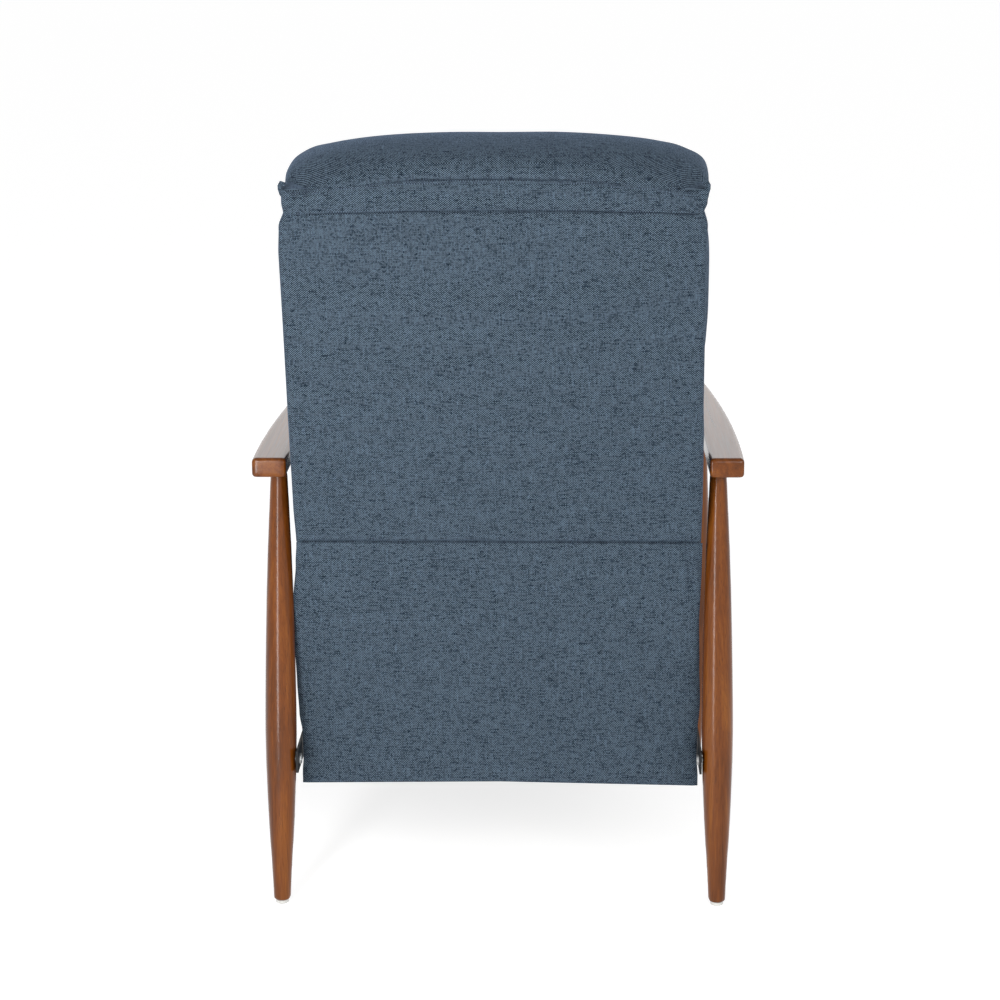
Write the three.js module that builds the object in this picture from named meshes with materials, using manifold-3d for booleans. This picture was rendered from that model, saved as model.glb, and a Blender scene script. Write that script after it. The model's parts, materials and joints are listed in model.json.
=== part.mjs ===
// A push-back recliner armchair with a turned wooden frame, in millimetres, +Z up, facing -Y.
// The origin is on the floor under the centre of the chair. "Left" is the sitter's left, which is +X.
//
// Leaning back swings the seat forward on two pairs of links, tilts the back about its hinge on the seat
// and unfolds the footrest linkage. Every linkage lies in planes across X, stacked from the seat frame outwards.
import * as THREE from "three";
import { mergeVertices } from "three/addons/utils/BufferGeometryUtils.js";
import Module from "manifold-3d";

const wasm = await Module();
wasm.setup();

// ---- Driving dimensions -------------------------------------------------------------------------------------
const ARM_TOP = 605;
const ARM_THICKNESS = 26;
const ARM_REAR_Y = 262;
const ARM_LENGTH = 600;
const ARM_OUTER_X = 319;
const ARM_INNER_X = 274.6;

const LEG_X = 287.5; // at the top of the leg
const LEG_SPLAY = 3.5; // the foot stands this much further out
const LEG_REAR = { topY: 227, footY: 290 };
const LEG_FRONT = { topY: -283, footY: -308 };
const GLIDE_HEIGHT = 6;
const GAP = 0.3; // between faces that touch

const BODY_HALF_WIDTH = 262; // cushions and rear panels
const SEAT_FRAME = { front: -330, rear: 165, bottom: 305, top: 365, halfWidth: 232.5, wall: 24 };
const BACK_LEAN = THREE.MathUtils.degToRad(13.5);
const BACK_FOOT = new THREE.Vector2(258, 491); // where the outside back meets the rear flap, in (y, z)
const FLAP_FOOT = new THREE.Vector2(223, 148); // hem of the rear flap
const PANEL_THICKNESS = 8;

const RAIL = { inner: 265.7, thickness: 3, bottom: 182, top: 212, front: -318, rear: 284 };
const BOLT_Z = 197;

const PLATE_THICKNESS = 3;
const PLANE = { seat: 233, one: 237.5, two: 242, three: 246.5 }; // inner faces of the stacked plates
const PIN_RADIUS = 4;
const HOLE_RADIUS = 4.5;
const HEAD_RADIUS = 6.5;
const LINK_RADIUS = 9;

// ---- Linkage geometry at rest, as (y, z) --------------------------------------------------------------------
const SWING_LENGTH = 90;
const SWING_REST = THREE.MathUtils.degToRad(25); // leaning to the rear
const FOOT_LINK = 150;
const yz = (y, z) => new THREE.Vector2(y, z);
const along = (from, degreesBelowForward, distance) => {
  const a = THREE.MathUtils.degToRad(degreesBelowForward);
  return yz(from.x - distance * Math.cos(a), from.y - distance * Math.sin(a));
};
const pivots = {};
pivots.rearBase = yz(95, 225);
pivots.frontBase = yz(-90, 225);
const swingRise = yz(SWING_LENGTH * Math.sin(SWING_REST), SWING_LENGTH * Math.cos(SWING_REST));
pivots.rearSeat = pivots.rearBase.clone().add(swingRise);
pivots.frontSeat = pivots.frontBase.clone().add(swingRise);
pivots.backHinge = yz(185, 368);
pivots.backControl = yz(165, 330); // lobe of the back bracket that the control link holds
pivots.controlBase = yz(98, 193.7);
pivots.thigh = yz(-300, 318);
pivots.knee = along(pivots.thigh, 150, FOOT_LINK);
pivots.footrest = along(pivots.knee, 30, FOOT_LINK);
pivots.guideBase = yz(-261.5, 322.6);
pivots.guideTail = along(pivots.knee, 30, -50);
pivots.levelBase = along(pivots.thigh, 150, 119.4);
pivots.levelTip = pivots.footrest.clone().add(yz(-27, 40));

// ---- Materials ----------------------------------------------------------------------------------------------
const finish = (color, roughness, metalness = 0) => new THREE.MeshStandardMaterial({ color, roughness, metalness });
const wood = finish(0x7a4524, 0.35);
const plywood = finish(0xb98d5e, 0.7);
const fabric = finish(0x4d6077, 0.95);
const webbing = finish(0x2c2c2e, 0.85);
const steel = finish(0x1b1b1d, 0.45, 0.6);
const zinc = finish(0x9a9ea3, 0.35, 0.9);
const nylon = finish(0xd9d9d6, 0.6);

// ---- Solids: joining and cutting ----------------------------------------------------------------------------
function solidOf(geometry) {
  const bare = geometry.index ? geometry.toNonIndexed() : geometry.clone();
  for (const name of Object.keys(bare.attributes)) {
    if (name !== "position") bare.deleteAttribute(name);
  }
  const merged = mergeVertices(bare, 1e-3);
  return new wasm.Manifold(
    new wasm.Mesh({
      numProp: 3,
      vertProperties: merged.attributes.position.array,
      triVerts: new Uint32Array(merged.index.array),
    }),
  );
}

function geometryOf(solid) {
  const mesh = solid.getMesh();
  const geometry = new THREE.BufferGeometry();
  geometry.setAttribute("position", new THREE.BufferAttribute(new Float32Array(mesh.vertProperties), 3));
  geometry.setIndex(new THREE.BufferAttribute(new Uint32Array(mesh.triVerts), 1));
  const faceted = geometry.toNonIndexed();
  faceted.computeVertexNormals();
  return faceted;
}

const joined = (first, ...rest) => geometryOf(rest.reduce((sum, g) => sum.add(solidOf(g)), solidOf(first)));
const cut = (first, ...tools) => geometryOf(tools.reduce((left, g) => left.subtract(solidOf(g)), solidOf(first)));

// ---- Shapes -------------------------------------------------------------------------------------------------
const ACROSS = new THREE.Matrix4().makeBasis(
  new THREE.Vector3(0, 1, 0),
  new THREE.Vector3(0, 0, 1),
  new THREE.Vector3(1, 0, 0),
); // a shape drawn as (y, z) is extruded along +X

const polygon = (points) => new THREE.Shape(points.map(([a, b]) => yz(a, b)));

function circlePath(centre, radius, sides = 16) {
  const path = new THREE.Path();
  path.setFromPoints(
    Array.from({ length: sides }, (_, i) => {
      const a = (2 * Math.PI * i) / sides;
      return yz(centre.x + radius * Math.cos(a), centre.y + radius * Math.sin(a));
    }),
  );
  return path;
}

// A shape in (y, z), extruded from x to x + thickness.
function acrossPlate(shape, x, thickness, holes = [], holeRadius = HOLE_RADIUS) {
  for (const hole of holes) shape.holes.push(circlePath(hole, holeRadius));
  const geometry = new THREE.ExtrudeGeometry(shape, { depth: thickness, bevelEnabled: false, curveSegments: 8 });
  return geometry.applyMatrix4(ACROSS).translate(x, 0, 0);
}

// A straight flat link with round ends.
function linkShape(from, to, radius = LINK_RADIUS) {
  const a = Math.atan2(to.y - from.y, to.x - from.x);
  const shape = new THREE.Shape();
  shape.absarc(to.x, to.y, radius, a - Math.PI / 2, a + Math.PI / 2);
  shape.absarc(from.x, from.y, radius, a + Math.PI / 2, a + 1.5 * Math.PI);
  shape.closePath();
  return shape;
}

// A round bar along X.
function bar(centre, x0, x1, radius, sides = 16) {
  const geometry = new THREE.CylinderGeometry(radius, radius, Math.abs(x1 - x0), sides);
  return geometry.rotateZ(Math.PI / 2).translate((x0 + x1) / 2, centre.x, centre.y);
}

// A rivet from inside its own plate, through the link in the next plane, with a head beyond it.
function rivet(centre, fromX, beyondX, headSide = 1) {
  const headStart = beyondX + headSide * 0.5;
  return joined(
    bar(centre, fromX, headStart + headSide, PIN_RADIUS),
    bar(centre, headStart, headStart + headSide * 2, HEAD_RADIUS),
  );
}

// A rivet head on the outer face of a link, where its free end meets a neighbour that it doesn't enter.
const cap = (centre, planeX) => bar(centre, planeX + 1, planeX + PLATE_THICKNESS + 2, HEAD_RADIUS);

// A box given by its low and high corners.
function block(x0, x1, y0, y1, z0, z1) {
  return new THREE.BoxGeometry(x1 - x0, y1 - y0, z1 - z0).translate((x0 + x1) / 2, (y0 + y1) / 2, (z0 + z1) / 2);
}

// A padded solid: a side profile in (y, z) carried across the chair and drawn in by `round` at both sides.
function padded(shape, halfWidth, round) {
  const outline = shape.extractPoints(6).shape;
  if (outline[0].distanceTo(outline.at(-1)) < 1e-6) outline.pop();
  if (THREE.ShapeUtils.isClockWise(outline)) outline.reverse();
  const box = new THREE.Box2().setFromPoints(outline);
  const middle = box.getCenter(yz(0, 0));
  const half = box.getSize(yz(0, 0)).multiplyScalar(0.5);
  const steps = [[0, 1], [0.3, 0.3], [1, 0]]; // share of the rounding, from the side inwards, as (x, inset)
  const stations = [
    ...steps.map(([x, inset]) => [-halfWidth + x * round, inset * round]),
    ...steps.toReversed().map(([x, inset]) => [halfWidth - x * round, inset * round]),
  ];
  const positions = stations.flatMap(([x, inset]) =>
    outline.flatMap((p) => [
      x,
      middle.x + (p.x - middle.x) * (1 - inset / half.x),
      middle.y + (p.y - middle.y) * (1 - inset / half.y),
    ]),
  );
  const count = outline.length;
  const index = [];
  for (let ring = 0; ring + 1 < stations.length; ring++) {
    for (let i = 0; i < count; i++) {
      const [a, b] = [ring * count + i, ring * count + ((i + 1) % count)];
      index.push(a, b, a + count, b, b + count, a + count);
    }
  }
  const lastRing = (stations.length - 1) * count;
  for (const [a, b, c] of THREE.ShapeUtils.triangulateShape(outline, [])) {
    index.push(a, c, b, lastRing + a, lastRing + b, lastRing + c);
  }
  const geometry = new THREE.BufferGeometry();
  geometry.setAttribute("position", new THREE.Float32BufferAttribute(positions, 3));
  geometry.setIndex(index);
  return geometry;
}

// ---- Assembly helpers ---------------------------------------------------------------------------------------
const chair = new THREE.Group();

function part(name, geometry, material, parent = chair) {
  const mesh = new THREE.Mesh(geometry, material);
  mesh.name = name;
  parent.add(mesh);
  return mesh;
}

// The geometry is made for +X, which is the left side, and mirrored for the right.
function pair(name, geometry, material, parent = chair) {
  part(`${name}_left`, geometry, material, parent);
  part(`${name}_right`, geometry, material, parent).scale.x = -1;
}

// ---- Wooden frame -------------------------------------------------------------------------------------------
function armrest() {
  const frontY = ARM_REAR_Y - ARM_LENGTH;
  const width = ARM_OUTER_X - ARM_INNER_X;
  const shape = new THREE.Shape();
  shape.moveTo(ARM_INNER_X, ARM_REAR_Y);
  shape.lineTo(ARM_OUTER_X, ARM_REAR_Y);
  shape.bezierCurveTo(
    ARM_OUTER_X + 4, ARM_REAR_Y - 0.3 * ARM_LENGTH,
    ARM_OUTER_X - 6, ARM_REAR_Y - 0.62 * ARM_LENGTH,
    ARM_OUTER_X - 30, frontY + 26,
  );
  shape.bezierCurveTo(ARM_OUTER_X - 36, frontY, ARM_OUTER_X - 44, frontY, ARM_OUTER_X - 54, frontY);
  shape.bezierCurveTo(
    ARM_INNER_X - 22, frontY,
    ARM_INNER_X - 24, frontY + 14,
    ARM_INNER_X - 23, frontY + 60,
  );
  shape.bezierCurveTo(
    ARM_INNER_X - 21, frontY + 0.45 * ARM_LENGTH,
    ARM_INNER_X, ARM_REAR_Y - 0.42 * ARM_LENGTH,
    ARM_INNER_X, ARM_REAR_Y - 0.25 * ARM_LENGTH,
  );
  shape.lineTo(ARM_INNER_X, ARM_REAR_Y);
  const round = width * 0.08;
  const geometry = new THREE.ExtrudeGeometry(shape, {
    depth: ARM_THICKNESS - 2 * round,
    bevelSize: round,
    bevelThickness: round,
    bevelOffset: -round,
    bevelSegments: 2,
    curveSegments: 10,
  });
  return geometry.translate(0, 0, ARM_TOP - ARM_THICKNESS + round);
}

const armUnderside = ARM_TOP - ARM_THICKNESS;
const legAt = (leg, z) => {
  const t = (armUnderside - z) / armUnderside;
  return { x: LEG_X + LEG_SPLAY * t, y: leg.topY + (leg.footY - leg.topY) * t };
};

// A cigar-shaped turned leg, trimmed flat under the arm and over its glide, and drilled for the rail bolt.
function turnedLeg(leg) {
  const top = new THREE.Vector3(LEG_X, leg.topY, armUnderside);
  const foot = new THREE.Vector3(LEG_X + LEG_SPLAY, leg.footY, 0);
  const overrun = 4;
  const length = top.distanceTo(foot) + 2 * overrun;
  const outline = new THREE.SplineCurve([
    yz(11, -overrun), yz(14, 57), yz(17.3, 111), yz(20.9, 215), yz(20.2, 320), yz(16.9, 455), yz(11, length - overrun),
  ]).getPoints(15);
  outline[0].y = -overrun;
  const profile = [yz(0, outline[0].y), ...outline, yz(0, outline.at(-1).y)];
  const geometry = new THREE.LatheGeometry(profile, 20);
  geometry.rotateX(Math.PI / 2); // the axis goes from +Y to +Z
  const axis = top.clone().sub(foot).normalize();
  const turn = new THREE.Quaternion().setFromUnitVectors(new THREE.Vector3(0, 0, 1), axis);
  geometry.applyQuaternion(turn).translate(foot.x, foot.y, foot.z);
  const boltAt = legAt(leg, BOLT_Z);
  return cut(
    geometry,
    block(LEG_X - 60, LEG_X + 60, foot.y - 90, foot.y + 90, -40, GLIDE_HEIGHT),
    block(LEG_X - 60, LEG_X + 60, top.y - 90, top.y + 90, armUnderside - GAP, armUnderside + 40),
    bar(yz(boltAt.y, BOLT_Z), RAIL.inner, boltAt.x + 6, PIN_RADIUS + GAP),
  );
}

function glide(leg) {
  const centre = legAt(leg, 3);
  const profile = [yz(0, 0), yz(6, 0), yz(8.5, 1.5), yz(8.5, GLIDE_HEIGHT - GAP), yz(0, GLIDE_HEIGHT - GAP)];
  return new THREE.LatheGeometry(profile, 20).rotateX(Math.PI / 2).translate(centre.x, centre.y, 0);
}

function legBolt(leg) {
  const at = legAt(leg, BOLT_Z);
  return joined(
    bar(yz(at.y, BOLT_Z), RAIL.inner - 2, at.x + 5, PIN_RADIUS),
    bar(yz(at.y, BOLT_Z), RAIL.inner - 3.2, RAIL.inner - GAP, 7),
  );
}

function woodenFrame() {
  pair("armrest", armrest(), wood);
  for (const [where, leg] of Object.entries({ front: LEG_FRONT, rear: LEG_REAR })) {
    pair(`leg_${where}`, turnedLeg(leg), wood);
    pair(`foot_glide_${where}`, glide(leg), nylon);
    pair(`leg_bolt_${where}`, legBolt(leg), zinc);
  }
}

// ---- Fixed steelwork ----------------------------------------------------------------------------------------
const BASE_PLATE = { front: -104, rear: 112, bottom: 184, top: 240 };
const CROSS_TUBE_RADIUS = 9;

function sideRail() {
  const shape = polygon([
    [RAIL.front, RAIL.bottom], [RAIL.rear, RAIL.bottom], [RAIL.rear, RAIL.top], [RAIL.front, RAIL.top],
  ]);
  const holes = [LEG_FRONT, LEG_REAR].map((leg) => yz(legAt(leg, BOLT_Z).y, BOLT_Z));
  return acrossPlate(shape, RAIL.inner, RAIL.thickness, holes, PIN_RADIUS + GAP);
}

function basePlate() {
  const { front, rear, bottom, top } = BASE_PLATE;
  const plate = acrossPlate(
    polygon([[front, bottom], [rear, bottom], [rear, top - 14], [rear - 14, top], [front + 14, top], [front, top - 14]]),
    PLANE.two,
    PLATE_THICKNESS,
  );
  const spacers = [-80, 55].map((y) => bar(yz(y, BOLT_Z), PLANE.two + 1, RAIL.inner - GAP, 8));
  const swingPins = [pivots.rearBase, pivots.frontBase].map((p) => rivet(p, PLANE.two + 1, PLANE.one, -1));
  const controlPin = rivet(pivots.controlBase, PLANE.two + 1, PLANE.three + PLATE_THICKNESS);
  return joined(plate, ...spacers, ...swingPins, controlPin);
}

function fixedSteel() {
  pair("side_rail", sideRail(), steel);
  pair("base_plate", basePlate(), steel);
  const reach = PLANE.two - GAP;
  part("cross_tube_front", bar(yz(-60, BOLT_Z), -reach, reach, CROSS_TUBE_RADIUS), steel);
  part("cross_tube_rear", bar(yz(70, BOLT_Z), -reach, reach, CROSS_TUBE_RADIUS), steel);
}

// ---- Swing links and back control links ---------------------------------------------------------------------
function swingLinks() {
  const reach = PLANE.one - GAP;
  for (const where of ["front", "rear"]) {
    const base = pivots[`${where}Base`];
    const seat = pivots[`${where}Seat`];
    const middle = base.clone().add(seat).multiplyScalar(0.5);
    const link = acrossPlate(linkShape(base, seat, 10), PLANE.one, PLATE_THICKNESS, [base, seat]);
    pair(`swing_link_${where}`, link, steel);
    part(`torque_tube_${where}`, bar(middle, -reach, reach, 8), steel);
  }
  const control = acrossPlate(
    linkShape(pivots.controlBase, pivots.backControl),
    PLANE.three,
    PLATE_THICKNESS,
    [pivots.controlBase],
  );
  pair("back_control_link", joined(control, cap(pivots.backControl, PLANE.three)), steel);
}

// ---- Seat ---------------------------------------------------------------------------------------------------
function seatFrame() {
  const { front, rear, bottom, top, halfWidth, wall } = SEAT_FRAME;
  return cut(
    block(-halfWidth, halfWidth, front, rear, bottom, top),
    block(wall - halfWidth, halfWidth - wall, front + wall, rear - wall, bottom - 5, top + 5),
  );
}

function seatPlate() {
  const plate = acrossPlate(
    polygon([[-314, 302], [-304, 292], [146, 292], [200, 358], [200, 376], [188, 384], [172, 384], [124, 345],
      [-304, 345], [-314, 335]]),
    PLANE.seat,
    PLATE_THICKNESS,
  );
  const inside = PLANE.seat + 1;
  const close = [pivots.rearSeat, pivots.frontSeat, pivots.thigh, pivots.backHinge];
  return joined(
    plate,
    ...close.map((p) => rivet(p, inside, PLANE.one + PLATE_THICKNESS)),
    rivet(pivots.guideBase, inside, PLANE.three + PLATE_THICKNESS),
  );
}

function seatCushion() {
  const shape = new THREE.Shape();
  shape.moveTo(118, 368);
  shape.lineTo(118, 438);
  shape.quadraticCurveTo(116, 451, 100, 452);
  shape.bezierCurveTo(-60, 462, -200, 474, -320, 477);
  shape.quadraticCurveTo(-376, 478, -378, 440);
  shape.lineTo(-378, 392);
  shape.quadraticCurveTo(-378, 368, -352, 368);
  shape.closePath();
  return padded(shape, BODY_HALF_WIDTH, 14);
}

function seat() {
  part("seat_frame", seatFrame(), plywood);
  pair("seat_plate", seatPlate(), steel);
  part("seat_cushion", seatCushion(), fabric);
  const deckZ = SEAT_FRAME.top + GAP;
  const deck = block(-215, 215, SEAT_FRAME.front + 4, SEAT_FRAME.rear - 4, deckZ, deckZ + 1.8);
  part("seat_deck", deck, webbing);
}

// The rear flap hangs from the outside back to a batten that the seat frame carries on two straps.
const flapY = (z) => THREE.MathUtils.mapLinear(z, FLAP_FOOT.y, BACK_FOOT.y, FLAP_FOOT.x, BACK_FOOT.x);
function flapPiece(z0, z1) {
  const t = PANEL_THICKNESS;
  const shape = polygon([[flapY(z0) - t, z0], [flapY(z0), z0], [flapY(z1), z1], [flapY(z1) - t, z1]]);
  return acrossPlate(shape, -BODY_HALF_WIDTH, 2 * BODY_HALF_WIDTH);
}

function flapCarrier() {
  const hang = SEAT_FRAME.rear + GAP;
  const strap = polygon([[hang, 310], [hang + 4, 310], [hang + 4, 342], [191, 342], [191, 158], [196, 158],
    [196, 348], [hang, 348]]);
  pair("flap_strap", acrossPlate(strap, 150, 25), steel);
  part("flap_batten", block(-230, 230, 196 + GAP, 214, 157, 190), plywood);
  part("rear_flap_lower", flapPiece(FLAP_FOOT.y, 376), fabric);
}

// ---- Back, drawn upright in its own frame: v is to the rear of the outside back, w is up along it -----------
const back = new THREE.Group();
back.position.set(0, BACK_FOOT.x, BACK_FOOT.y);
back.rotation.x = -BACK_LEAN;
chair.add(back);
const onBack = (p) => p.clone().sub(BACK_FOOT).rotateAround(yz(0, 0), BACK_LEAN);

const BACK_FRAME = { front: -34, rear: -9, bottom: -50, top: 470, halfWidth: 236.5, post: 36 };
const CUSHION_FRONT = -145;
const CUSHION_REAR = -37;
const PANEL_TOP = 460;

function backFrame() {
  const { front, rear, bottom, top, halfWidth, post } = BACK_FRAME;
  const inner = halfWidth - post;
  pair("back_post", block(inner, halfWidth, front, rear, bottom, top), plywood, back);
  const reach = inner - GAP;
  part("back_rail_bottom", block(-reach, reach, front, rear, bottom + 4, bottom + 64), plywood, back);
  part("back_rail_top", block(-reach, reach, front, rear, top - 60, top), plywood, back);
}

function backBracket() {
  const hinge = onBack(pivots.backHinge);
  const shape = polygon([[-66, -180], [-62, -190], [-52, -194], [-42, -189], [-27, -132], [-12, -58], [-12, 105],
    [-32, 105], [-34, -56], [-57, -126]]);
  return acrossPlate(shape, PLANE.one, PLATE_THICKNESS, [hinge]);
}

// A channel of the inside back, from w0 to w1, with a rounded front.
function backChannel(w0, w1) {
  const round = 26;
  const shape = new THREE.Shape();
  shape.moveTo(CUSHION_REAR, w0);
  shape.lineTo(CUSHION_REAR, w1);
  shape.lineTo(CUSHION_FRONT + round, w1);
  shape.quadraticCurveTo(CUSHION_FRONT, w1, CUSHION_FRONT, w1 - round);
  shape.lineTo(CUSHION_FRONT, w0 + round);
  shape.quadraticCurveTo(CUSHION_FRONT, w0, CUSHION_FRONT + round, w0);
  shape.closePath();
  return padded(shape, BODY_HALF_WIDTH, 10);
}

// The head roll goes over the top of the frame and down to the outside back.
function headRoll() {
  const crown = 533;
  const shape = new THREE.Shape();
  shape.moveTo(0, PANEL_TOP + 2);
  shape.lineTo(0, 488);
  shape.bezierCurveTo(-2, crown - 14, -30, crown, -66, crown);
  shape.bezierCurveTo(-118, crown, CUSHION_FRONT, crown - 22, CUSHION_FRONT, 484);
  shape.quadraticCurveTo(CUSHION_FRONT, 442, CUSHION_FRONT + 30, 442);
  shape.lineTo(CUSHION_REAR, 442);
  shape.lineTo(CUSHION_REAR, 474);
  shape.lineTo(-6, 474);
  shape.lineTo(-6, PANEL_TOP + 2);
  shape.closePath();
  return padded(shape, BODY_HALF_WIDTH, 2);
}

function backAssembly() {
  backFrame();
  pair("back_bracket", backBracket(), steel, back);
  part("lumbar_cushion", backChannel(-58, 190), fabric, back);
  part("upper_back_cushion", backChannel(192, 440), fabric, back);
  part("head_roll", headRoll(), fabric, back);
  part(
    "outside_back_panel",
    block(-BODY_HALF_WIDTH, BODY_HALF_WIDTH, -PANEL_THICKNESS, 0, 2, PANEL_TOP),
    fabric,
    back,
  );
  part("rear_flap_upper", flapPiece(425, BACK_FOOT.y - 3), fabric);
}

// ---- Footrest and its linkage -------------------------------------------------------------------------------
const FOOTREST = { back: -338, bottom: 110, top: 355, board: 15, pad: 36 };

function footrestBracket() {
  const face = FOOTREST.back + GAP;
  const plate = acrossPlate(
    polygon([[face, 160], [-312, 156], [-292, 156], [-288, 168], [-292, 180], [-320, 218], [-326, 305], [face, 305]]),
    PLANE.one,
    PLATE_THICKNESS,
    [pivots.footrest],
  );
  const flange = block(PLANE.one - 24, PLANE.one + 1, face, face + PLATE_THICKNESS, 190, 305);
  return joined(plate, flange);
}

function footrestPad() {
  const { back, board, pad, bottom, top } = FOOTREST;
  const rear = back - board - GAP;
  const front = rear - pad;
  const round = 22;
  const shape = new THREE.Shape();
  shape.moveTo(rear, bottom);
  shape.lineTo(rear, top);
  shape.lineTo(front + round, top);
  shape.quadraticCurveTo(front, top, front, top - round);
  shape.lineTo(front, bottom + round);
  shape.quadraticCurveTo(front, bottom, front + round, bottom);
  shape.closePath();
  return padded(shape, BODY_HALF_WIDTH - 4, 10);
}

function footrestLinkage() {
  const { thigh, knee, footrest, guideBase, guideTail, levelBase, levelTip } = pivots;
  const one = PLANE.one + 1;
  pair(
    "footrest_thigh_link",
    joined(
      acrossPlate(linkShape(thigh, knee), PLANE.one, PLATE_THICKNESS, [thigh]),
      rivet(knee, one, PLANE.two + PLATE_THICKNESS),
      rivet(levelBase, one, PLANE.three + PLATE_THICKNESS),
    ),
    steel,
  );
  pair(
    "footrest_shin_link",
    joined(
      acrossPlate(linkShape(guideTail, footrest), PLANE.two, PLATE_THICKNESS, [knee]),
      rivet(footrest, PLANE.two + 1, PLANE.one, -1),
    ),
    steel,
  );
  pair(
    "footrest_guide_link",
    joined(
      acrossPlate(linkShape(guideBase, guideTail, 8), PLANE.three, PLATE_THICKNESS, [guideBase]),
      cap(guideTail, PLANE.three),
    ),
    steel,
  );
  pair(
    "footrest_level_link",
    joined(
      acrossPlate(linkShape(levelBase, levelTip, 8), PLANE.three, PLATE_THICKNESS, [levelBase]),
      cap(levelTip, PLANE.three),
    ),
    steel,
  );
  pair("footrest_bracket", footrestBracket(), steel);
  const { back: face, board, bottom, top } = FOOTREST;
  part("footrest_board", block(-243, 243, face - board, face, bottom + 6, top - 6), plywood);
  part("footrest_pad", footrestPad(), fabric);
}

woodenFrame();
fixedSteel();
swingLinks();
seat();
flapCarrier();
backAssembly();
footrestLinkage();

// The origin goes under the middle of the chair's bounding box.
const bounds = new THREE.Box3().setFromObject(chair, true);
chair.position.y = -(bounds.min.y + bounds.max.y) / 2;
chair.userData.pivots = pivots;

export default chair;
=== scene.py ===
"""A push-back recliner armchair: woven blue upholstery on a turned, walnut-stained frame.

Lengths are in metres. Heights on the back are given in the back's own leaning frame: `v` is to the
rear of the outside back and `w` is up along it, both from the seam where the rear flap begins.
"""
import json
import math

import bmesh
import bpy
import numpy as np
from mathutils import Matrix, Vector, noise


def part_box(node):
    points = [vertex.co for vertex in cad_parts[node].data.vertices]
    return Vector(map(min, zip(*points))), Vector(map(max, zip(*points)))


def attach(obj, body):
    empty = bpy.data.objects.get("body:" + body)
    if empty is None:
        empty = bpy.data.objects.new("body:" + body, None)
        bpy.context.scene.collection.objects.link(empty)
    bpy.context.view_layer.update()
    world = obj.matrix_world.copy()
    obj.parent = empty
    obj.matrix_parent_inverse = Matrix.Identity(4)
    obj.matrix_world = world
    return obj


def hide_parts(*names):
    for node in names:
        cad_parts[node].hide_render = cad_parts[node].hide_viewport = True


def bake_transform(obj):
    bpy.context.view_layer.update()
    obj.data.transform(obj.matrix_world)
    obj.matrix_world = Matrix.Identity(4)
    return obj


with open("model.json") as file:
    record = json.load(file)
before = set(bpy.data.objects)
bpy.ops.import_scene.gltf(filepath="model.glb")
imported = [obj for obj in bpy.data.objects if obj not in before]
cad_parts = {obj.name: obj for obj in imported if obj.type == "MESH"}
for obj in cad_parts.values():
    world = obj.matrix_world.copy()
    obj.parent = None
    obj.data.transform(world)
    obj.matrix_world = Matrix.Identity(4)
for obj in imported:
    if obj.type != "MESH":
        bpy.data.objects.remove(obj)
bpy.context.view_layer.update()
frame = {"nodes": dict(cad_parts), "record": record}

MM = 0.001
NODES = frame["nodes"]


# ---- The back's leaning frame, from the CAD panel that stands on the seam ------------------------
PANEL_START = 2 * MM  # the CAD panel begins this far above the seam
panel_corners = [v.co.copy() for v in NODES["outside_back_panel"].data.vertices]
panel_top = max(panel_corners, key=lambda p: p.y)
panel_foot = min(panel_corners, key=lambda p: p.z)
LEAN = math.atan2(panel_top.y - panel_foot.y, panel_top.z - panel_foot.z)
UP = Vector((0, math.sin(LEAN), math.cos(LEAN)))
REAR = Vector((0, math.cos(LEAN), -math.sin(LEAN)))
SEAM = Vector((0, panel_foot.y, panel_foot.z)) - UP * PANEL_START


def on_back(x, v, w):
    """A place in the chair's frame, from one in the back's leaning frame."""
    return Vector((x, 0, 0)) + SEAM + REAR * v + UP * w


def smooth(edge0, edge1, value):
    """Rises smoothly from 0 at edge0 to 1 at edge1."""
    t = min(max((value - edge0) / (edge1 - edge0), 0), 1)
    return t * t * (3 - 2 * t)


def bump(value, centre, width):
    """A bell curve, 1 at the centre."""
    return math.exp(-(((value - centre) / width) ** 2))


def curve_through(points):
    """A smooth function through (position, value) points, flat beyond the ends."""
    def value_at(s):
        for (s0, a), (s1, b) in zip(points, points[1:]):
            if s <= s1:
                return a + (b - a) * smooth(s0, s1, s)
        return points[-1][1]
    return value_at


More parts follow.
